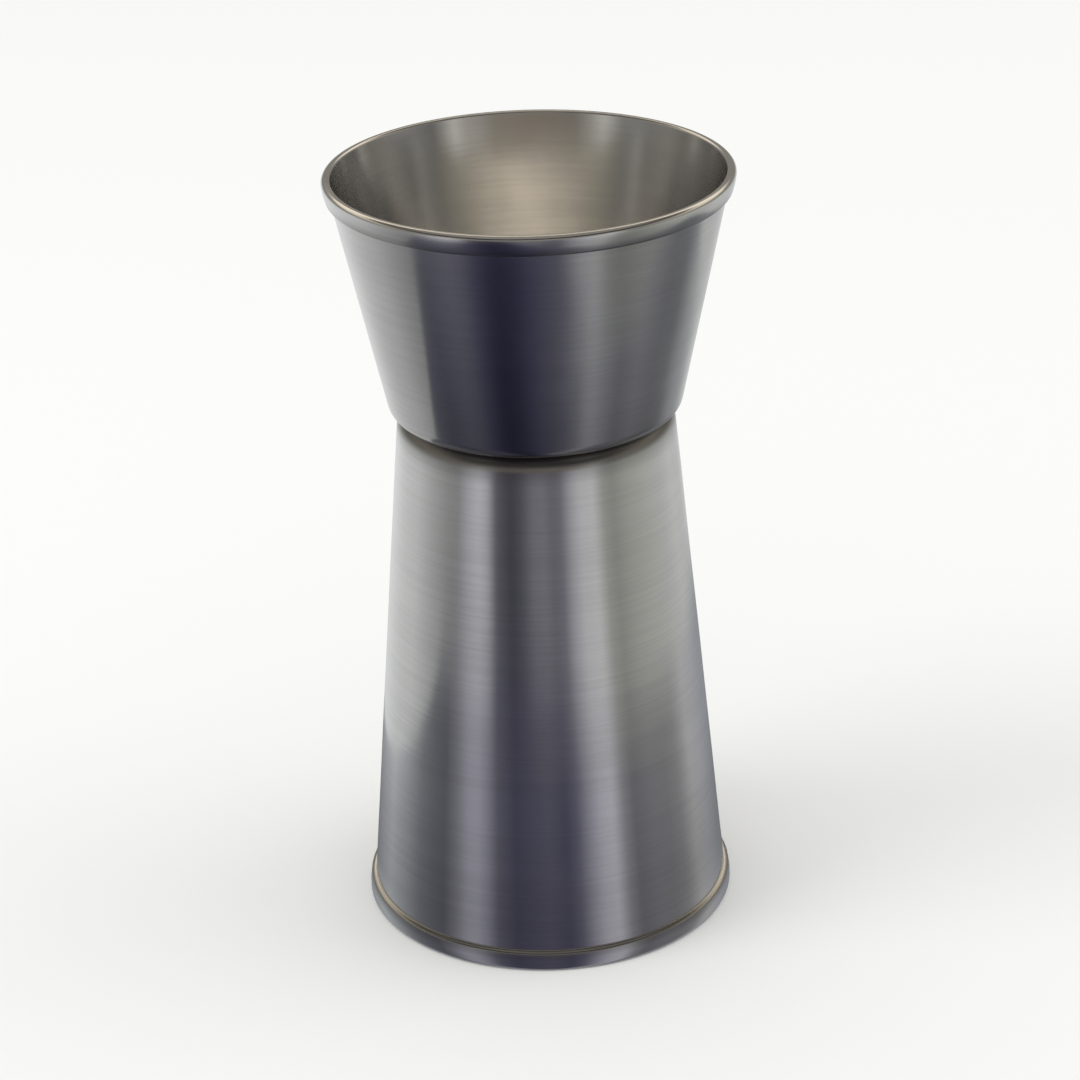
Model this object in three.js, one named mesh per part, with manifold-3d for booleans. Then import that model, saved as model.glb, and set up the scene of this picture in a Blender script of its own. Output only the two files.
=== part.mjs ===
// Double bar jigger: a 25 ml cup standing on an upturned 50 ml cup, floor to floor.
//
// Each cup is drawn from stainless sheet as a flared cone with a flat floor. Its mouth is
// hemmed: the sheet is folded outwards and pressed flat, so the lip is two sheets thick, and
// its crown is lapped to a narrow flat land that the jigger stands on. The floors touch at
// the waist, where three resistance spot welds fuse them. Each weld is a flat lens of cast
// metal between the sheets, under a shallow round mark that the electrode left in each floor.
//
// Units are millimetres and +Z is up. The origin is the centre of the circle that the jigger
// stands on, with the 25 ml cup on top.

import * as THREE from "three";
import { mergeVertices } from "three/addons/utils/BufferGeometryUtils.js";
import Module from "manifold-3d";

// Driving dimensions. Radii are of the cone's outer face, before the hem is folded on.
const SHEET = 0.5; // thickness of the stainless sheet
const UPPER = { height: 26.0, waistRadius: 15.3, mouthRadius: 20.85 };
const LOWER = { height: 57.2, waistRadius: 14.6, mouthRadius: 19.7 };

const CORNER_RADIUS = 1.7; // outside bend between floor and wall
const HEM_HEIGHT = 2.2; // length of the folded leaf, along the wall
const FOLD_RADIUS = 0.45; // outside of the fold, where the leaf meets the lip's flat land
const BRIM_RADIUS = 0.25; // rounding between the land and the cup's inside
const LEAF_EDGE_RADIUS = 0.4; // rounding of the leaf's cut edge

const WELD_COUNT = 3;
const WELD_CIRCLE_RADIUS = 8.0;
const NUGGET = { radius: 1.8, halfThickness: 0.25 };
const MARK = { radius: 2.6, flatRadius: 2.0, depth: 0.1 };

const CUP_SEGMENTS = 72;
const WELD_SEGMENTS = 24;
const ARC_DIVISIONS = 2; // Path.getPoints makes twice this many chords of each arc
const MERGE_DISTANCE = 1e-4; // vertices closer than this are one vertex

const STEEL = { color: 0xb4b3b1, metalness: 1, roughness: 0.2 };
const WELD_STEEL = { color: 0x86837f, metalness: 1, roughness: 0.55 };

const wasm = await Module();
wasm.setup();

const QUARTER_TURN = Math.PI / 2;
const LATHE_TO_Z_UP = new THREE.Matrix4().makeRotationX(QUARTER_TURN);

// Revolves a profile of (radius, height) about Z. The profile starts and ends on the axis.
function revolve(profile, segments) {
  return new THREE.LatheGeometry(profile, segments).applyMatrix4(LATHE_TO_Z_UP);
}

// A lathe folds its first and last rows to points on the axis, so the triangles that have
// collapsed there are left out.
function toSolid(geometry) {
  const bare = geometry.clone();
  bare.deleteAttribute("normal");
  bare.deleteAttribute("uv");
  const { attributes, index } = mergeVertices(bare, MERGE_DISTANCE);
  const triVerts = [];
  for (let i = 0; i < index.count; i += 3) {
    const [a, b, c] = index.array.slice(i, i + 3);
    if (a !== b && b !== c && c !== a) triVerts.push(a, b, c);
  }
  const mesh = new wasm.Mesh({
    numProp: 3,
    vertProperties: attributes.position.array,
    triVerts: new Uint32Array(triVerts),
  });
  return new wasm.Manifold(mesh);
}

function toGeometry(solid) {
  const { vertProperties, triVerts } = solid.getMesh();
  const geometry = new THREE.BufferGeometry();
  geometry.setAttribute("position", new THREE.BufferAttribute(vertProperties, 3));
  geometry.setIndex(new THREE.BufferAttribute(triVerts, 1));
  geometry.computeVertexNormals();
  return geometry;
}

// The section of a cup that stands on its floor: floor at height 0, mouth at the top.
// It runs from the axis along the underside of the floor, up the outer wall, over the hemmed
// lip, down the inner wall and back to the axis along the inside of the floor.
function cupProfile({ height, waistRadius, mouthRadius }) {
  const flare = Math.atan2(mouthRadius - waistRadius, height);
  const cos = Math.cos(flare);
  const sin = Math.sin(flare);

  // A point on the face that lies offset outwards of the cone's outer face, at a height.
  const onWall = (offset, z) => new THREE.Vector2(waistRadius + (z * sin + offset) / cos, z);

  const bend = onWall(-CORNER_RADIUS, CORNER_RADIUS);
  const fold = onWall(SHEET - FOLD_RADIUS, height - FOLD_RADIUS);
  const brim = onWall(BRIM_RADIUS - SHEET, height - BRIM_RADIUS);
  const leafEnd = height - HEM_HEIGHT * cos;
  const leafEdge = onWall(SHEET - LEAF_EDGE_RADIUS, leafEnd + LEAF_EDGE_RADIUS);

  return new THREE.Path()
    .moveTo(0, 0)
    .lineTo(bend.x, 0)
    .absarc(bend.x, bend.y, CORNER_RADIUS, -QUARTER_TURN, -flare, false)
    .lineTo(onWall(0, leafEnd).x, leafEnd)
    .absarc(leafEdge.x, leafEdge.y, LEAF_EDGE_RADIUS, -QUARTER_TURN, -flare, false)
    .absarc(fold.x, fold.y, FOLD_RADIUS, -flare, QUARTER_TURN, false)
    .absarc(brim.x, brim.y, BRIM_RADIUS, QUARTER_TURN, Math.PI - flare, false)
    .absarc(bend.x, bend.y, CORNER_RADIUS - SHEET, -flare, -QUARTER_TURN, true)
    .lineTo(0, SHEET)
    .getPoints(ARC_DIVISIONS);
}

// The cast lens of one weld, centred on the plane where the two floors meet.
function nuggetGeometry() {
  const profile = new THREE.Path()
    .absellipse(0, 0, NUGGET.radius, NUGGET.halfThickness, -QUARTER_TURN, QUARTER_TURN)
    .getPoints(2 * ARC_DIVISIONS);
  return revolve(profile, WELD_SEGMENTS);
}

// The shallow pan that an electrode presses into the inside of a floor.
function markGeometry() {
  const profile = [
    new THREE.Vector2(0, SHEET - MARK.depth),
    new THREE.Vector2(MARK.flatRadius, SHEET - MARK.depth),
    new THREE.Vector2(MARK.radius, SHEET),
    new THREE.Vector2(MARK.radius, 2 * SHEET),
    new THREE.Vector2(0, 2 * SHEET),
  ];
  return revolve(profile, WELD_SEGMENTS);
}

// The welds mirror themselves in the YZ plane, so turning a cup over about Y keeps them.
function weldPosition(index) {
  const angle = QUARTER_TURN + (index * 2 * Math.PI) / WELD_COUNT;
  return new THREE.Vector3(
    WELD_CIRCLE_RADIUS * Math.cos(angle),
    WELD_CIRCLE_RADIUS * Math.sin(angle),
    0,
  );
}

// One cup, standing on its floor, with its share of each weld cut out of the floor.
function cupGeometry(sizes) {
  let cup = toSolid(revolve(cupProfile(sizes), CUP_SEGMENTS));
  for (let i = 0; i < WELD_COUNT; i++) {
    const place = weldPosition(i).toArray();
    cup = cup.subtract(toSolid(nuggetGeometry()).translate(place));
    cup = cup.subtract(toSolid(markGeometry()).translate(place));
  }
  return toGeometry(cup);
}

function namedMesh(name, geometry, look) {
  const mesh = new THREE.Mesh(geometry, new THREE.MeshStandardMaterial(look));
  mesh.name = name;
  return mesh;
}

const jigger = new THREE.Group();
const waist = new THREE.Group();
waist.position.z = LOWER.height;
jigger.add(waist);

const upperCup = namedMesh("upper_cup", cupGeometry(UPPER), STEEL);
waist.add(upperCup);

const lowerCup = namedMesh("lower_cup", cupGeometry(LOWER), STEEL);
lowerCup.rotation.y = Math.PI; // mouth down
waist.add(lowerCup);

for (let i = 0; i < WELD_COUNT; i++) {
  const nugget = namedMesh(`weld_nugget_${i + 1}`, nuggetGeometry(), WELD_STEEL);
  nugget.position.copy(weldPosition(i));
  waist.add(nugget);
}

export default jigger;
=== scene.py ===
"""Looks for the bar jigger: two finely turned steel cups, and the studio that they reflect.

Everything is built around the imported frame. Lengths in the cups' sections are in millimetres,
and become metres when a mesh is made. A section is drawn for a cup that stands on its floor,
and the lower cup is then turned over.
"""

import math
from collections import namedtuple

import bpy
from mathutils import Matrix, Quaternion, Vector, noise


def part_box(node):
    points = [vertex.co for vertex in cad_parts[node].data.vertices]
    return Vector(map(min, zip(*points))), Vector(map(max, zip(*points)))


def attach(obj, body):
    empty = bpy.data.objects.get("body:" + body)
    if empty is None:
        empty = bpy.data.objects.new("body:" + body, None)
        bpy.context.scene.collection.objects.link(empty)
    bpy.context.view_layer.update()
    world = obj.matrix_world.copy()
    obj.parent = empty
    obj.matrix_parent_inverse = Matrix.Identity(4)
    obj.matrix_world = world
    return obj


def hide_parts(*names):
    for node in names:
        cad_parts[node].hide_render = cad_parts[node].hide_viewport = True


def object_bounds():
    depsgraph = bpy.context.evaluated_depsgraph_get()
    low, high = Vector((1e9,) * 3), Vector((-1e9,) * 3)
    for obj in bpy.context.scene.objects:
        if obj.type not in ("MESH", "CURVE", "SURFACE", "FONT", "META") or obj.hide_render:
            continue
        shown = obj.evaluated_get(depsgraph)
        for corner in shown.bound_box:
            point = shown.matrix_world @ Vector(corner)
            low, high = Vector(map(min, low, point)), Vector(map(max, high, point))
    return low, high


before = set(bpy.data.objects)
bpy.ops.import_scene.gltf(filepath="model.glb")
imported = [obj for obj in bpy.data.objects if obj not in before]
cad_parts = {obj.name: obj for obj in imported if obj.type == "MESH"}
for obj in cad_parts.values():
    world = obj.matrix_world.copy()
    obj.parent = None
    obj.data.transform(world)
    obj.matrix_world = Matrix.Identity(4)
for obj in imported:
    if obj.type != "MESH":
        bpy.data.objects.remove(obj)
cad_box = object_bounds()

MM = 0.001

# The cups' small curves, which the frame holds only as facets.
BEND_RADIUS = 1.7  # outside bend between floor and wall
FOLD_RADIUS = 0.45  # outside of the fold at the mouth
BRIM_RADIUS = 0.25  # rounding between the mouth's flat land and the cup's inside
HEM_HEIGHT = 2.2  # length of the folded leaf, along the wall
LEAF_CROWN_RADIUS = 6.0  # the leaf isn't pressed quite flat, so its face is crowned
LEAF_EDGE_RADIUS = 0.4  # the leaf's cut edge, burnished round against the wall
MARK_RADIUS = 2.6  # outside of the round mark that an electrode leaves over a weld
MARK_FLAT_RADIUS = 2.0  # the flat in its middle
MARK_DEPTH = 0.1

# Soil and painted shade in the crevices, at the waist and at the leaf's edge. The steel is painted
# darker there, partly for the soil that polishing and washing leave and partly as painted shade for
# the shade that falls in a crevice. How far it spreads from its middle, and how thick it is.
UPPER_WAIST_SOIL_AND_SHADE = (2.0, 0.2)
LOWER_WAIST_SOIL_AND_SHADE = (3.6, 0.85)
LEAF_EDGE_SOIL_AND_SHADE = (0.45, 0.55)  # the leaf's cut edge is rough, so soil clings to it; the crease beside it is also painted darker, as painted shade
SOIL_AND_SHADE_STEEPNESS = 1.6  # how quickly it thickens towards its middle

# How finely the cups are cut.
SEGMENTS = 192
ROWS_PER_QUARTER_TURN = 8
WALL_ROW = 1.5
FLOOR_ROW = 0.4
EDGE_ROW = 0.04  # a row this close to each end of a straight stretch keeps its shading flat

# Drawn sheet is never quite true: its wall wanders, and it is slightly oval.
WANDER = 0.02
WANDER_LENGTH = 11.0
OVALITY = 0.02
WANDER_FADE = 6.0  # it fades out over this distance from the floor and from the mouth

Cup = namedtuple("Cup", "height waist_radius mouth_radius sheet")

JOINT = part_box("upper_cup")[0].z / MM  # height at which the two floors touch


# ---------------------------------------------------------------- shape


def ray_radius(node, start, direction):
    """Distance from the axis, in mm, at which a ray first meets a CAD node."""
    _hit, place, _normal, _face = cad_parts[node].ray_cast(Vector(start), Vector(direction))
    return math.hypot(place.x, place.y) / MM


def measure_cup(node, towards_mouth):
    """Reads a cup's straight wall from its CAD solid. Its mouth lies up (1) or down (-1)."""
    low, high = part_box(node)
    height = (high.z - low.z) / MM
    near, far = height / 3, height * 2 / 3

    def level(above_floor):
        return (JOINT + towards_mouth * above_floor) * MM

    def outer(above_floor):
        return ray_radius(node, (0, -1, level(above_floor)), (0, 1, 0))

    slope = (outer(far) - outer(near)) / (far - near)
    inner = ray_radius(node, (0, 0, level(near)), (0, -1, 0))
    return Cup(
        height=height,
        waist_radius=outer(near) - slope * near,
        mouth_radius=outer(near) + slope * (height - near),
        sheet=(outer(near) - inner) * math.cos(math.atan(slope)),
    )


class Outline:
    """Rows of (radius, height) along a section, laid down one stretch after another."""

    def __init__(self, radius, height):
        self.rows = [(radius, height)]
        self.soil_and_shade_patches = []

    def soil_and_shade(self, reach, thickness):
        """Soil and painted shade lie round the last point, and thin out to nothing at a distance
        from it.
        """
        self.soil_and_shade_patches.append((len(self.rows) - 1, reach, thickness))

    def line(self, radius, height, spacing):
        start = Vector(self.rows[-1])
        end = Vector((radius, height))
        length = (end - start).length
        steps = max(1, round(length / spacing))
        edge = EDGE_ROW / length
        shares = [edge] + [i / steps for i in range(1, steps)] + [1 - edge, 1]
        self.rows += [tuple(start.lerp(end, share)) for share in shares]

    def arc(self, centre, radius, start, end):
        steps = math.ceil(abs(end - start) / (math.pi / 2) * ROWS_PER_QUARTER_TURN)
        for i in range(1, steps + 1):
            angle = start + (end - start) * i / steps
            self.rows.append(
                (centre[0] + radius * math.cos(angle), centre[1] + radius * math.sin(angle))
            )


def touching_circle(low, low_radius, high, high_radius, radius):
    """Centre of a larger circle that holds two others and touches both, on the axis side."""
    low, high = Vector(low), Vector(high)
    along = (high - low).normalized()
    inwards = Vector((-along.y, along.x))
    to_low, to_high = radius - low_radius, radius - high_radius
    gap = (high - low).length
    share = (gap**2 + to_low**2 - to_high**2) / (2 * gap)
    return low + along * share + inwards * math.sqrt(to_low**2 - share**2)


def angle_of(centre, point):
    return math.atan2(point[1] - centre[1], point[0] - centre[0])


def end_of(centre, radius, angle):
    return centre[0] + radius * math.cos(angle), centre[1] + radius * math.sin(angle)


def cup_outline(cup, waist_soil_and_shade):
    """A cup's section, from the axis under its floor, out over the lip and back inside."""
    quarter = math.pi / 2
    flare = math.atan2(cup.mouth_radius - cup.waist_radius, cup.height)
    cos, sin = math.cos(flare), math.sin(flare)

    def on_wall(offset, height):
        return cup.waist_radius + (height * sin + offset) / cos, height

    bend = on_wall(-BEND_RADIUS, BEND_RADIUS)
    inner_bend_radius = BEND_RADIUS - cup.sheet
    leaf_end = cup.height - HEM_HEIGHT * cos
    leaf_edge = on_wall(cup.sheet - LEAF_EDGE_RADIUS, leaf_end + LEAF_EDGE_RADIUS)
    leaf_start = math.pi - flare + math.acos((cup.sheet - LEAF_EDGE_RADIUS) / LEAF_EDGE_RADIUS)
    leaf_middle = 2 * math.pi - flare - quarter / 2
    fold = on_wall(cup.sheet - FOLD_RADIUS, cup.height - FOLD_RADIUS)
    brim = on_wall(BRIM_RADIUS - cup.sheet, cup.height - BRIM_RADIUS)
    crown = touching_circle(leaf_edge, LEAF_EDGE_RADIUS, fold, FOLD_RADIUS, LEAF_CROWN_RADIUS)
    crown_start = angle_of(crown, leaf_edge)
    crown_end = angle_of(crown, fold)

    section = Outline(0, 0)
    section.line(bend[0], 0, FLOOR_ROW)
    # painted shade in the groove at the waist, with some soil
    section.soil_and_shade(*waist_soil_and_shade)
    section.arc(bend, BEND_RADIUS, -quarter, -flare)
    section.line(*end_of(leaf_edge, LEAF_EDGE_RADIUS, leaf_start), WALL_ROW)
    section.arc(leaf_edge, LEAF_EDGE_RADIUS, leaf_start, leaf_middle)
    # painted shade in the crease at the leaf's edge, with some soil
    section.soil_and_shade(*LEAF_EDGE_SOIL_AND_SHADE)
    section.arc(leaf_edge, LEAF_EDGE_RADIUS, leaf_middle, 2 * math.pi + crown_start)
    section.arc(crown, LEAF_CROWN_RADIUS, crown_start, crown_end)
    section.arc(fold, FOLD_RADIUS, crown_end, quarter)
    section.line(*end_of(brim, BRIM_RADIUS, quarter), WALL_ROW)
    section.arc(brim, BRIM_RADIUS, quarter, math.pi - flare)
    section.line(*end_of(bend, inner_bend_radius, -flare), WALL_ROW)
    section.arc(bend, inner_bend_radius, -flare, -quarter)
    section.line(0, cup.sheet, FLOOR_ROW)
    return section


def smooth(share):
    """Eases from 0 to 1 as share does, and holds beyond."""
    share = min(max(share, 0), 1)
    return share * share * (3 - 2 * share)


def read_welds():
    """Centres of the welds in mm, as the CAD nuggets stand, and their radius and half thickness."""
    places = []
    for name in sorted(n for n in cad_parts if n.startswith("weld_nugget")):
        low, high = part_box(name)
        places.append(((low + high) / 2 / MM).xy)
    radius = (high.x - low.x) / 2 / MM
    half_thickness = (high.z - low.z) / 2 / MM
    return places, radius, half_thickness


WELDS, NUGGET_RADIUS, NUGGET_HALF_THICKNESS = read_welds()
UPPER = measure_cup("upper_cup", 1)
LOWER = measure_cup("lower_cup", -1)


def shaped(cup, x, y, z):
    """Moves one point of a true cup to where pressing and welding have left it."""
    radius = math.hypot(x, y)
    if z > BEND_RADIUS:
        angle = math.atan2(y, x)
        fade = smooth((z - BEND_RADIUS) / WANDER_FADE) * smooth((cup.height - z) / WANDER_FADE)
        wander = WANDER * noise.noise(Vector((x, y, z)) / WANDER_LENGTH)
        push = 1 + fade * (wander + OVALITY * math.cos(2 * angle)) / radius
        return x * push, y * push, z
    distance = min((Vector((x, y)) - place).length for place in WELDS)
    if z < cup.sheet / 2:
        inside = max(0, 1 - (distance / NUGGET_RADIUS) ** 2)
        return x, y, z + NUGGET_HALF_THICKNESS * math.sqrt(inside)
    slope_width = MARK_RADIUS - MARK_FLAT_RADIUS
    return x, y, z - MARK_DEPTH * smooth((MARK_RADIUS - distance) / slope_width)


def soil_and_shade_on_rows(section, travelled):
    """How thick the soil and painted shade lie on each row. Where two patches meet, the thicker one
    counts.
    """

    def soil_and_shade_at(travel):
        return max(
            thickness * smooth((1 - abs(travel - travelled[row]) / reach) * SOIL_AND_SHADE_STEEPNESS)
            for row, reach, thickness in section.soil_and_shade_patches
        )

    return [soil_and_shade_at(travel) for travel in travelled]


def lathe_faces(ring_count):
    """Quads between the rings of points, closed by a fan round the point at each end."""
    last = 1 + ring_count * SEGMENTS

    def at(ring, i):
        return 1 + ring * SEGMENTS + i % SEGMENTS

    faces = []
    for i in range(SEGMENTS):
        faces.append((0, at(0, i + 1), at(0, i)))
        faces.append((last, at(ring_count - 1, i), at(ring_count - 1, i + 1)))
        for ring in range(ring_count - 1):
            faces.append(
                (at(ring, i), at(ring, i + 1), at(ring + 1, i + 1), at(ring + 1, i))
            )
    return faces


def lathe(name, cup, waist_soil_and_shade):
    """A cup as a closed mesh about Z. Each point keeps its distance along, and how much soil and
    painted shade it has.
    """
    section = cup_outline(cup, waist_soil_and_shade)
    travelled = [0]
    for before, after in zip(section.rows, section.rows[1:]):
        travelled.append(travelled[-1] + math.dist(before, after))

    points, along, soil_and_shade = [], [], []
    soil_and_shade_on = soil_and_shade_on_rows(section, travelled)
    for (radius, height), travel, thickness in zip(section.rows, travelled, soil_and_shade_on):
        for i in range(1 if radius == 0 else SEGMENTS):
            angle = 2 * math.pi * i / SEGMENTS
            points.append(shaped(cup, radius * math.cos(angle), radius * math.sin(angle), height))
            along.append(travel)
            soil_and_shade.append(thickness)

    mesh = bpy.data.meshes.new(name)
    ring_count = len(section.rows) - 2
    mesh.from_pydata([Vector(p) * MM for p in points], [], lathe_faces(ring_count))
    for attribute, values in (("along", along), ("soil_and_shade", soil_and_shade)):
        mesh.attributes.new(attribute, "FLOAT", "POINT").data.foreach_set("value", values)
    mesh.shade_smooth()
    piece = bpy.data.objects.new(name, mesh)
    bpy.context.scene.collection.objects.link(piece)
    return piece


def make_cup(name, node, cup, waist_soil_and_shade):
    """The fine cup that stands for a CAD cup."""
    piece = lathe(name, cup, waist_soil_and_shade)
    if cup is LOWER:
        piece.data.transform(Matrix.Rotation(math.pi, 4, "Y"))
    piece.data.transform(Matrix.Translation((0, 0, JOINT * MM)))
    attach(piece, "root")
    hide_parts(node)
    return piece


# ---------------------------------------------------------------- shader helpers

# Sockets of the Mix node when it mixes colours.
MIX_FACTOR, MIX_A, MIX_B, MIX_RESULT = 0, 6, 7, 2


class Graph:
    """A short way to add shader nodes and join them."""

    def __init__(self, tree):
        self.tree = tree
        tree.nodes.clear()

    def node(self, kind, inputs=None, **settings):
        made = self.tree.nodes.new(kind)
        for key, value in settings.items():
            setattr(made, key, value)
        for key, value in (inputs or {}).items():
            self.feed(made.inputs[key], value)
        return made

    def feed(self, socket, value):
        if isinstance(value, bpy.types.NodeSocket):
            self.tree.links.new(value, socket)
        else:
            socket.default_value = value

    def math(self, operation, *values):
        made = self.node("ShaderNodeMath", operation=operation)
        for socket, value in zip(made.inputs, values):
            self.feed(socket, value)
        return made.outputs[0]

    def span(self, value, low, high, to_low=0.0, to_high=1.0):
        """Value eased from low..high onto to_low..to_high."""
        inputs = {
            "Value": value,
            "From Min": low,
            "From Max": high,
            "To Min": to_low,
            "To Max": to_high,
        }
        made = self.node("ShaderNodeMapRange", inputs, interpolation_type="SMOOTHSTEP")
        return made.outputs["Result"]

    def mix(self, factor, a, b, blend="MIX"):
        made = self.node("ShaderNodeMix", data_type="RGBA", blend_type=blend)
        for socket, value in ((MIX_FACTOR, factor), (MIX_A, a), (MIX_B, b)):
            self.feed(made.inputs[socket], value)
        return made.outputs[MIX_RESULT]

    def shaded(self, colour, shade):
        return self.mix(1.0, colour, shade, blend="MULTIPLY")

    def scaled(self, vector, scale):
        made = self.node("ShaderNodeVectorMath", operation="MULTIPLY")
        self.feed(made.inputs[0], vector)
        made.inputs[1].default_value = scale
        return made.outputs[0]

    def separate(self, vector):
        return self.node("ShaderNodeSeparateXYZ", {"Vector": vector}).outputs

    def attribute(self, name):
        return self.node("ShaderNodeAttribute", attribute_name=name).outputs["Fac"]

    def place_in_mm(self):
        place = self.node("ShaderNodeTexCoord").outputs["Object"]
        return self.scaled(place, (1 / MM,) * 3)

    def noise(self, vector, size, detail=2.0, roughness=0.5):
        """Cloudy noise, whose lumps are about one size across."""
        inputs = {"Vector": vector, "Scale": 1 / size, "Detail": detail, "Roughness": roughness}
        return self.node("ShaderNodeTexNoise", inputs).outputs["Fac"]

    def bump(self, height, depth):
        """A normal tilted by a height of 0 to 1, which stands for 0 to depth in mm."""
        inputs = {"Height": height, "Strength": 1.0, "Distance": depth * MM}
        return self.node("ShaderNodeBump", inputs).outputs[0]


def new_material(name):
    material = bpy.data.materials.new(name)
    material.use_nodes = True
    return material, Graph(material.node_tree)


def linear(red, green, blue):
    """A colour as the eye reads it, 0 to 255 a channel, turned into light."""
    channels = [c / 255 for c in (red, green, blue)]
    light = [c / 12.92 if c <= 0.04045 else ((c + 0.055) / 1.055) ** 2.4 for c in channels]
    return (*light, 1.0)


# ---------------------------------------------------------------- materials

STEEL = (0.69, 0.68, 0.67, 1.0)
DULL_STEEL = (0.56, 0.55, 0.54, 1.0)
# Dark colour painted into the crevices: partly soil, and partly painted shade for the shade that
# falls there.
GRIME_AND_SHADE = (0.14, 0.13, 0.12, 1.0)
STRAW = (0.62, 0.50, 0.33, 1.0)
DARK_CAST_STEEL = (0.33, 0.31, 0.29, 1.0)
LIGHT_CAST_STEEL = (0.52, 0.50, 0.47, 1.0)

# Polishing lines: how long they run round the axis, and how far apart they lie.
FINE_LINES = (14.0, 0.35)
BROAD_LINES = (30.0, 1.6)
FINE_SHARE = 0.8  # depth of the fine lines, against that of the broad ones
LINE_DEPTH = 0.003
LINE_CONTRAST = (0.75, 1.25)  # sum of both kinds of line, where it starts and ends to dull
LINE_DULLING = 0.3

CLOUD_SIZE = 6.0
CLOUD_DULLING = 0.12
SMUDGE_SIZE = 13.0
SMUDGE_CONTRAST = (0.42, 0.7)

# How rough the polished steel is, and how much each thing on it adds.
POLISHED_ROUGHNESS = 0.11
SMUDGE_ROUGHNESS = 0.07
LINE_ROUGHNESS = 0.05
SOIL_ROUGHNESS = 0.2

# The straw-coloured ring round a weld. Each pair is where there is none of it, and where it is
# full: inside and outside the ring, from the weld's centre, and then from the floors' joint.
RING_INSIDE = (1.4, 2.3)
RING_OUTSIDE = (4.2, 2.6)
RING_HEIGHT = (1.6, 0.8)
RING_STRENGTH = 0.5

# The welds' cast metal.
GRAIN_SIZE = 0.25
GRAIN_DEPTH = 0.02


def polishing_lines(g, axes, length, pitch):
    """Lines that are long round the axis, and one pitch apart along the section."""
    parts = {
        "X": g.math("DIVIDE", axes["X"], length),
        "Y": g.math("DIVIDE", axes["Y"], length),
        "Z": g.math("DIVIDE", g.attribute("along"), pitch),
    }
    vector = g.node("ShaderNodeCombineXYZ", parts).outputs[0]
    return g.noise(vector, 1.0, roughness=0.6)


def weld_heat(g, axes):
    """Straw-coloured rings that the welds have left on the insides of the floors."""
    heat = 0.0
    for place in WELDS:
        across = g.math("SUBTRACT", axes["X"], place.x)
        back = g.math("SUBTRACT", axes["Y"], place.y)
        squared = g.math("ADD", g.math("POWER", across, 2.0), g.math("POWER", back, 2.0))
        distance = g.math("SQRT", squared)
        ring = g.math("MULTIPLY", g.span(distance, *RING_INSIDE), g.span(distance, *RING_OUTSIDE))
        heat = g.math("MAXIMUM", heat, ring)
    from_joint = g.math("ABSOLUTE", g.math("SUBTRACT", axes["Z"], JOINT))
    return g.math("MULTIPLY", heat, g.span(from_joint, *RING_HEIGHT))


def steel_colour(g, place, axes, fine, broad, soil_and_shade):
    """Bright steel, duller in lines and clouds, with heat rings over it, and soil with painted
    shade darkening the crevices.
    """
    lines = g.span(g.math("ADD", fine, broad), *LINE_CONTRAST)
    clouds = g.noise(place, CLOUD_SIZE, detail=4.0, roughness=0.6)
    dulling = g.math(
        "ADD", g.math("MULTIPLY", lines, LINE_DULLING), g.math("MULTIPLY", clouds, CLOUD_DULLING)
    )
    colour = g.mix(dulling, STEEL, DULL_STEEL)
    colour = g.mix(g.math("MULTIPLY", weld_heat(g, axes), RING_STRENGTH), colour, STRAW)
    # soil and painted shade darken the waist groove and the leaf's edge
    return g.mix(soil_and_shade, colour, GRIME_AND_SHADE)


def steel_roughness(g, place, fine, soil_and_shade):
    """Steel that smudges, polishing lines and soil make rougher. The soil's mask also carries the
    crevices' painted shade.
    """
    smudge = g.span(g.noise(place, SMUDGE_SIZE, detail=3.0), *SMUDGE_CONTRAST)
    roughness = POLISHED_ROUGHNESS
    for amount, added in (
        (smudge, SMUDGE_ROUGHNESS),
        (fine, LINE_ROUGHNESS),
        (soil_and_shade, SOIL_ROUGHNESS),
    ):
        roughness = g.math("ADD", roughness, g.math("MULTIPLY", amount, added))
    return roughness


def polished_steel():
    """Stainless sheet, satin polished round the axis: the lines run round, so glints run up."""
    material, g = new_material("polished_steel")
    place = g.place_in_mm()
    axes = g.separate(place)
    fine = polishing_lines(g, axes, *FINE_LINES)
    broad = polishing_lines(g, axes, *BROAD_LINES)
    # soil and painted shade, stored on the mesh for each point
    soil_and_shade = g.attribute("soil_and_shade")

    height = g.math("ADD", g.math("MULTIPLY", fine, FINE_SHARE), broad)
    tangent = g.node("ShaderNodeTangent", direction_type="RADIAL", axis="Z")
    shader = g.node(
        "ShaderNodeBsdfPrincipled",
        {
            "Base Color": steel_colour(g, place, axes, fine, broad, soil_and_shade),
            "Metallic": 1.0,
            "Roughness": steel_roughness(g, place, fine, soil_and_shade),
            "Anisotropic": 0.7,
            "Anisotropic Rotation": 0.25,
            "Tangent": tangent.outputs[0],
            "Normal": g.bump(height, LINE_DEPTH),
        },
    )
    g.node("ShaderNodeOutputMaterial", {"Surface": shader.outputs[0]})
    return material


def cast_steel():
    """The welds' own metal: dull, and slightly pitted."""
    material, g = new_material("weld_steel")
    grains = g.noise(g.place_in_mm(), GRAIN_SIZE, detail=3.0, roughness=0.6)
    inputs = {
        "Base Color": g.mix(grains, DARK_CAST_STEEL, LIGHT_CAST_STEEL),
        "Metallic": 1.0,
        "Roughness": g.span(grains, 0.2, 0.8, 0.45, 0.7),
        "Normal": g.bump(grains, GRAIN_DEPTH),
    }
    shader = g.node("ShaderNodeBsdfPrincipled", inputs)
    g.node("ShaderNodeOutputMaterial", {"Surface": shader.outputs[0]})
    return material


# ---------------------------------------------------------------- studio

CAMERA_PLACE = Vector((-215, -233, 185.5)) * MM
CAMERA_LENS = 108.0
CAMERA_ROLL = math.radians(1.8)
GLOSSY_BOUNCES = 10  # light bounces many times in the groove at the waist and inside a cup

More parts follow.
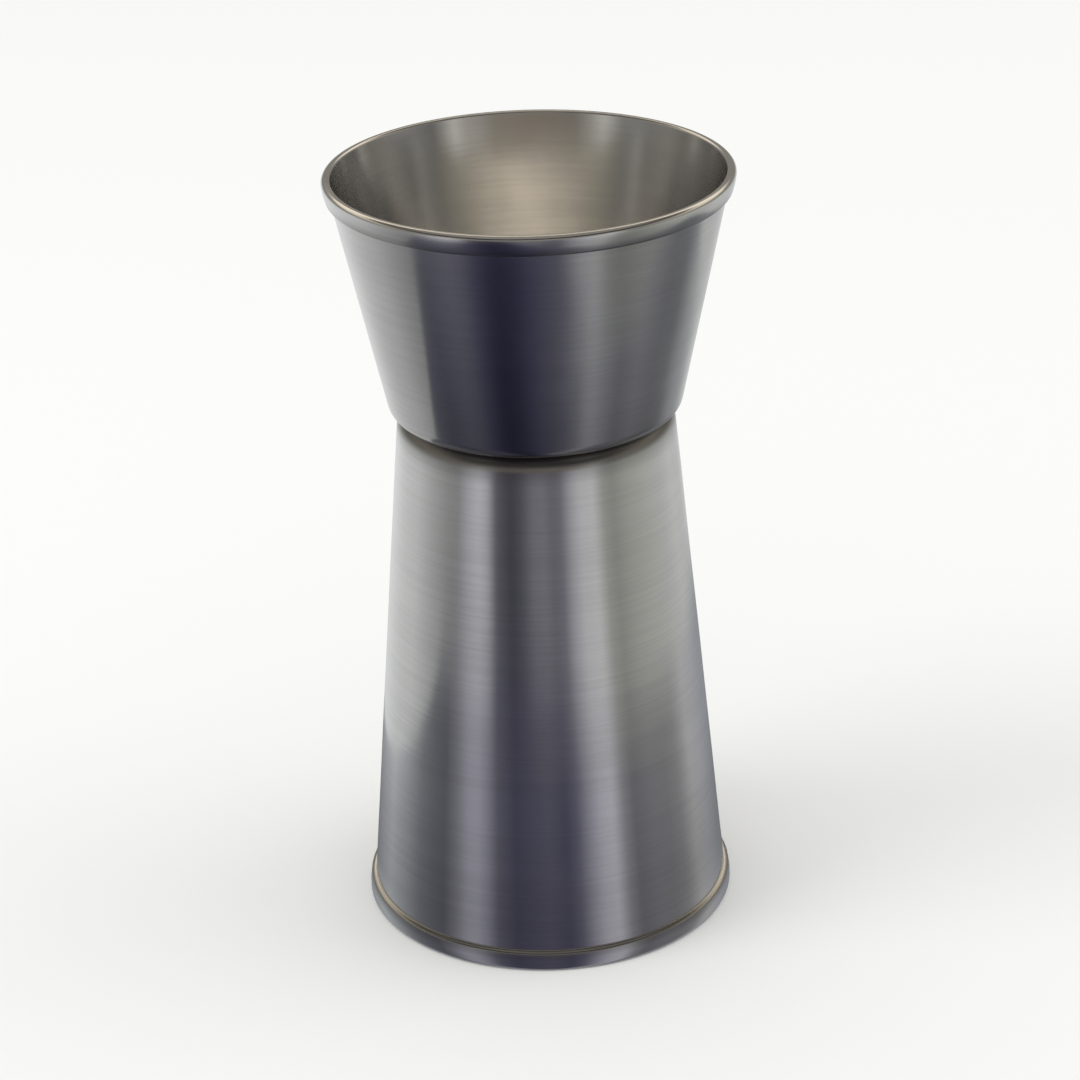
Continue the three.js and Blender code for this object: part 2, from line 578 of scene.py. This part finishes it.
# What the camera sees round the jigger.
WORLD_COLOUR = (0.90, 0.90, 0.89, 1.0)
FLOOR_COLOUR = (0.86, 0.86, 0.85, 1.0)
FLOOR_REACH = Vector((3.0, 3.0))

# What the steel shows of the studio, as angle from the camera and colour. Angles are positive
# to the camera's right, and a colour fades evenly to the next one.

# Upright panels that reach down to the table.
WALL_PANELS = [
    (-180, (180, 182, 182)),
    (-165, (193, 195, 195)),
    (-150, (194, 196, 196)),
    (-130, (183, 185, 185)),
    (-110, (174, 176, 176)),
    (-92, (149, 151, 151)),
    (-76, (128, 129, 129)),
    (-66, (121, 122, 124)),
    (-56, (152, 152, 157)),
    (-48, (167, 167, 172)),
    (-41, (152, 152, 158)),
    (-34, (80, 80, 88)),
    (-22, (56, 56, 64)),
    (-14, (72, 72, 80)),
    (-5, (100, 100, 108)),
    (3, (104, 104, 111)),
    (10, (92, 92, 100)),
    (17, (98, 98, 106)),
    (24, (138, 138, 144)),
    (32, (163, 164, 167)),
    (43, (169, 170, 171)),
    (52, (134, 136, 132)),
    (60, (125, 127, 122)),
    (75, (143, 145, 140)),
    (95, (156, 158, 153)),
    (112, (163, 165, 163)),
    (130, (175, 176, 175)),
    (150, (168, 170, 170)),
    (180, (180, 182, 182)),
]
# The dark mat under the jigger, at a graze.
MAT_GRAZED = [
    (-180, (115, 117, 120)),
    (-150, (141, 144, 148)),
    (-130, (156, 160, 163)),
    (-110, (128, 131, 135)),
    (-95, (98, 100, 106)),
    (-84, (84, 86, 92)),
    (-73, (75, 76, 84)),
    (-64, (100, 100, 108)),
    (-55, (129, 129, 139)),
    (-48, (132, 132, 143)),
    (-41, (112, 112, 123)),
    (-34, (76, 76, 88)),
    (-22, (58, 57, 72)),
    (-12, (64, 63, 78)),
    (0, (70, 69, 83)),
    (12, (60, 59, 75)),
    (20, (78, 78, 92)),
    (28, (120, 120, 131)),
    (36, (148, 148, 157)),
    (44, (156, 156, 164)),
    (52, (113, 113, 119)),
    (60, (90, 90, 95)),
    (75, (101, 101, 106)),
    (88, (103, 103, 106)),
    (100, (115, 115, 118)),
    (115, (152, 153, 154)),
    (130, (146, 147, 152)),
    (150, (128, 131, 136)),
    (180, (115, 117, 120)),
]
# The same mat, looked down on.
MAT_FROM_ABOVE = [
    (-180, (110, 110, 115)),
    (-110, (90, 90, 97)),
    (-87, (68, 68, 78)),
    (-74, (61, 61, 72)),
    (-57, (71, 71, 82)),
    (-48, (67, 67, 79)),
    (-40, (54, 53, 69)),
    (-29, (37, 36, 52)),
    (-22, (33, 32, 48)),
    (-12, (38, 37, 53)),
    (0, (52, 51, 68)),
    (14, (66, 66, 78)),
    (25, (77, 77, 87)),
    (34, (93, 93, 101)),
    (43, (117, 118, 124)),
    (49, (119, 120, 125)),
    (60, (102, 103, 108)),
    (69, (88, 88, 94)),
    (85, (95, 95, 100)),
    (103, (83, 84, 88)),
    (117, (84, 85, 88)),
    (132, (112, 114, 117)),
    (180, (110, 110, 115)),
]
# The room just over the table.
ROOM = [
    (-180, (115, 112, 106)),
    (-105, (125, 123, 118)),
    (-76, (114, 114, 113)),
    (-58, (117, 117, 114)),
    (-53, (142, 141, 137)),
    (-46, (172, 171, 166)),
    (-38, (138, 136, 130)),
    (-29, (106, 101, 93)),
    (0, (108, 100, 90)),
    (19, (115, 109, 99)),
    (29, (136, 133, 126)),
    (36, (143, 140, 134)),
    (44, (168, 166, 161)),
    (51, (126, 125, 121)),
    (57, (92, 92, 89)),
    (76, (115, 115, 115)),
    (105, (125, 123, 118)),
    (180, (115, 112, 106)),
]
# The lit wall over the room.
LIT_WALL = [
    (-180, (232, 221, 202)),
    (-165, (230, 219, 200)),
    (-142, (218, 208, 189)),
    (-105, (164, 158, 143)),
    (-68, (124, 122, 114)),
    (-56, (126, 125, 120)),
    (-43, (146, 145, 140)),
    (-30, (116, 115, 111)),
    (0, (140, 138, 133)),
    (30, (124, 123, 118)),
    (43, (158, 157, 152)),
    (56, (130, 129, 124)),
    (68, (130, 128, 119)),
    (105, (163, 157, 142)),
    (142, (218, 208, 189)),
    (165, (230, 219, 200)),
    (180, (232, 221, 202)),
]
# The dark cove under the ceiling.
COVE = [
    (-180, (98, 94, 88)),
    (-100, (80, 77, 72)),
    (-60, (48, 47, 48)),
    (0, (44, 43, 46)),
    (60, (48, 47, 48)),
    (100, (80, 77, 72)),
    (180, (98, 94, 88)),
]
OVERHEAD = (124, 120, 114)
STEEL_GAIN = 1 / 0.65  # the studio is this much brighter than it shows in the steel

# Where one part of the studio gives way to the next, as degrees above the level: where the
# change begins, and where it is complete.
PANELS_TO_ROOM = (-4, 3)
TO_OVERHEAD = (50, 65)
WALL_TOP_NEAR = 24  # top of the lit wall, towards the camera
WALL_TOP_FAR = 38  # and on the far side

# The same, as steps of the upward part of a direction from the lit wall's top.
ROOM_TO_WALL = (-0.26, -0.16)
WALL_TO_COVE = (0, 0.1)

# The table reflects the panels, and less of them the more steeply it is looked down on.
TABLE_DARKEST = (-42, 0.6)  # elevation, and share of the panels' light
TABLE_BRIGHTEST = (-18, 1.0)

# Opposite corners of the mat. It lies a little under the floor, so that the two never coincide.
MAT_LOW = Vector((-161, -98)) * MM
MAT_HIGH = Vector((148, 52)) * MM
MAT_DEPTH = 0.1

# The mat's shade, as pairs of distance from the jigger's axis in mm and share of the light left.
GRAZED_NEAR_FOOT = ((30, 0.85), (60, 1.0))
ABOVE_NEAR_FOOT = ((25, 0.85), (60, 1.0))
ABOVE_FAR_OUT = ((70, 0.65), (105, 1.12))

# The mat looks as bright as the panels past a soft edge, which is farthest at one bearing.
SOFT_EDGE_NEAREST = (-0.2, 78)  # cosine of the angle from that bearing, and distance
SOFT_EDGE_FARTHEST = (1, 102)
SOFT_EDGE_BEARING = math.radians(29)
SOFT_EDGE_WIDTH = 36

# A ray looks down on the mat, and doesn't graze it, when it is steep enough and long enough.
STEEP_ENOUGH = (0.42, 0.52)  # its downward part
LONG_ENOUGH = (4, 12)


def angle_from_camera(g, vector):
    """The angle of a direction round the axis, 0 towards the camera, as -0.5 to 0.5 turn."""
    axes = g.separate(vector)
    towards = CAMERA_PLACE.xy.normalized()
    right = Vector((-towards.y, towards.x))
    forward = g.math(
        "ADD", g.math("MULTIPLY", axes["X"], towards.x), g.math("MULTIPLY", axes["Y"], towards.y)
    )
    sideways = g.math(
        "ADD", g.math("MULTIPLY", axes["X"], right.x), g.math("MULTIPLY", axes["Y"], right.y)
    )
    return g.math("DIVIDE", g.math("ARCTAN2", sideways, forward), 2 * math.pi)


def colours_round(g, turn, knots):
    """The colour at a turn from the camera."""
    ramp = g.node("ShaderNodeValToRGB", {"Fac": g.math("ADD", turn, 0.5)})
    stops = ramp.color_ramp.elements
    stops.remove(stops[1])
    stops[0].color = linear(*knots[0][1])
    for angle, colour in knots[1:]:
        stop = stops.new(angle / 360 + 0.5)
        stop.color = linear(*colour)
    return ramp.outputs["Color"]


def elevation(degrees):
    """The upward part of a direction that climbs at an angle."""
    return math.sin(math.radians(degrees))


def cosine_of(g, turn, offset=0.0):
    """Cosine of a turn from the camera, with an offset in radians."""
    angle = g.math("ADD", g.math("MULTIPLY", turn, 2 * math.pi), offset)
    return g.math("COSINE", angle)


def panels_seen(g, turn, climb):
    """The panels, and under them their reflection in the table, which is a little darker."""
    low, darkest = TABLE_DARKEST
    high, brightest = TABLE_BRIGHTEST
    shade = g.span(climb, elevation(low), elevation(high), darkest, brightest)
    return g.shaded(colours_round(g, turn, WALL_PANELS), shade)


def studio_world():
    """Pale to the eye and to the floor. The steel sees panels, the room and its ceiling."""
    world = bpy.data.worlds.new("studio")
    world.use_nodes = True
    g = Graph(world.node_tree)
    direction = g.node("ShaderNodeTexCoord").outputs["Generated"]
    turn = angle_from_camera(g, direction)
    climb = g.separate(direction)["Z"]
    seen = panels_seen(g, turn, climb)
    room = colours_round(g, turn, ROOM)
    seen = g.mix(g.span(climb, *map(elevation, PANELS_TO_ROOM)), seen, room)

    wall_tops = elevation(WALL_TOP_NEAR), elevation(WALL_TOP_FAR)
    over_wall = g.math("SUBTRACT", climb, g.span(cosine_of(g, turn), 1, -1, *wall_tops))
    lit_wall = colours_round(g, turn, LIT_WALL)
    seen = g.mix(g.span(over_wall, *ROOM_TO_WALL), seen, lit_wall)
    cove = colours_round(g, turn, COVE)
    seen = g.mix(g.span(over_wall, *WALL_TO_COVE), seen, cove)
    seen = g.mix(g.span(climb, *map(elevation, TO_OVERHEAD)), seen, linear(*OVERHEAD))

    reflected = g.node("ShaderNodeBackground", {"Color": seen, "Strength": STEEL_GAIN})
    plain = g.node("ShaderNodeBackground", {"Color": WORLD_COLOUR, "Strength": 1.0})
    glossy = g.node("ShaderNodeLightPath").outputs["Is Glossy Ray"]
    both = g.node("ShaderNodeMixShader", {"Fac": glossy})
    g.feed(both.inputs[1], plain.outputs[0])
    g.feed(both.inputs[2], reflected.outputs[0])
    g.node("ShaderNodeOutputWorld", {"Surface": both.outputs[0]})
    world.cycles.sampling_method = "NONE"
    bpy.context.scene.world = world


def span_between(g, value, start, end):
    """Value eased from one (input, output) pair to another."""
    return g.span(value, start[0], end[0], start[1], end[1])


def mat_grazed(g, turn, steepness, distance):
    """The mat at a graze. Past its soft edge it looks as bright as the panels."""
    near = g.shaded(
        colours_round(g, turn, MAT_GRAZED), span_between(g, distance, *GRAZED_NEAR_FOOT)
    )
    far_out = panels_seen(g, turn, g.math("MULTIPLY", steepness, -1.0))
    cosine = cosine_of(g, turn, SOFT_EDGE_BEARING)
    edge = span_between(g, cosine, SOFT_EDGE_NEAREST, SOFT_EDGE_FARTHEST)
    past_edge = g.math("SUBTRACT", distance, edge)
    return g.mix(g.span(past_edge, 0, SOFT_EDGE_WIDTH), near, far_out)


def mat_from_above(g, turn, distance):
    """The mat looked down on: darker near the foot, and lighter far out."""
    shade = g.math(
        "MULTIPLY",
        span_between(g, distance, *ABOVE_NEAR_FOOT),
        span_between(g, distance, *ABOVE_FAR_OUT),
    )
    return g.shaded(colours_round(g, turn, MAT_FROM_ABOVE), shade)


def mat_material():
    """The mat as the steel sees it, which darkens towards the jigger's foot."""
    material, g = new_material("reflected_mat")
    back = g.node("ShaderNodeNewGeometry").outputs["Incoming"]
    steepness = g.separate(back)["Z"]
    turn = angle_from_camera(g, g.scaled(back, (-1, -1, -1)))
    place = g.place_in_mm()
    distance = g.node("ShaderNodeVectorMath", {0: place}, operation="LENGTH").outputs["Value"]

    reach = g.math("DIVIDE", g.node("ShaderNodeLightPath").outputs["Ray Length"], MM)
    looked_down_on = g.math(
        "MULTIPLY", g.span(steepness, *STEEP_ENOUGH), g.span(reach, *LONG_ENOUGH)
    )
    grazed = mat_grazed(g, turn, steepness, distance)
    seen = g.mix(looked_down_on, grazed, mat_from_above(g, turn, distance))
    light = g.node("ShaderNodeEmission", {"Color": seen, "Strength": STEEL_GAIN})
    g.node("ShaderNodeOutputMaterial", {"Surface": light.outputs[0]})
    material.cycles.emission_sampling = "NONE"
    return material


def flat_sheet(name, low, high, height, material):
    mesh = bpy.data.meshes.new(name)
    corners = [(low.x, low.y), (high.x, low.y), (high.x, high.y), (low.x, high.y)]
    mesh.from_pydata([(x, y, height) for x, y in corners], [], [(0, 1, 2, 3)])
    mesh.materials.append(material)
    sheet = bpy.data.objects.new(name, mesh)
    bpy.context.scene.collection.objects.link(sheet)
    return sheet


def floor_material():
    material, g = new_material("pale_floor")
    shader = g.node("ShaderNodeBsdfDiffuse", {"Color": FLOOR_COLOUR})
    g.node("ShaderNodeOutputMaterial", {"Surface": shader.outputs[0]})
    return material


def add_floor():
    """A pale floor that the steel doesn't reflect, and a dark mat that only the steel does."""
    floor = flat_sheet("floor", -FLOOR_REACH, FLOOR_REACH, 0.0, floor_material())
    floor.visible_glossy = False
    mat = flat_sheet("reflected_mat", MAT_LOW, MAT_HIGH, -MAT_DEPTH * MM, mat_material())
    for kind in ("camera", "diffuse", "transmission", "volume_scatter", "shadow"):
        setattr(mat, f"visible_{kind}", False)


def add_light(name, place, size, power):
    """A soft box that lights the floor, aimed at the jigger."""
    data = bpy.data.lights.new(name, "AREA")
    data.shape = "DISK"
    data.size = size
    data.energy = power
    light = bpy.data.objects.new(name, data)
    light.location = place
    light.rotation_mode = "QUATERNION"
    light.rotation_quaternion = (-Vector(place)).to_track_quat("-Z", "Y")
    light.visible_glossy = False
    light.visible_camera = False
    bpy.context.scene.collection.objects.link(light)


def add_camera():
    low, high = cad_box
    data = bpy.data.cameras.new("camera")
    data.lens = CAMERA_LENS
    data.clip_start = 0.01
    camera = bpy.data.objects.new("camera", data)
    camera.location = CAMERA_PLACE
    camera.rotation_mode = "QUATERNION"
    aim = ((low + high) / 2 - CAMERA_PLACE).to_track_quat("-Z", "Y")
    camera.rotation_quaternion = aim @ Quaternion((0, 0, 1), -CAMERA_ROLL)
    bpy.context.scene.collection.objects.link(camera)
    bpy.context.scene.camera = camera


# ---------------------------------------------------------------- the scene

steel = polished_steel()
upper_shell = make_cup("upper_cup_shell", "upper_cup", UPPER, UPPER_WAIST_SOIL_AND_SHADE)
lower_shell = make_cup("lower_cup_shell", "lower_cup", LOWER, LOWER_WAIST_SOIL_AND_SHADE)
for shell in (upper_shell, lower_shell):
    shell.data.materials.append(steel)

weld_steel = cast_steel()
for node_name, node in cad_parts.items():
    if node_name.startswith("weld_nugget"):
        node.data.materials.clear()
        node.data.materials.append(weld_steel)

studio_world()
add_floor()
add_light("key", place=(-0.7, 0.3, 0.9), size=0.6, power=3.0)
add_light("fill", place=(0.6, -0.5, 0.9), size=0.9, power=2.0)
add_camera()
bpy.context.scene.view_settings.view_transform = "Standard"
bpy.context.scene.cycles.glossy_bounces = GLOSSY_BOUNCES
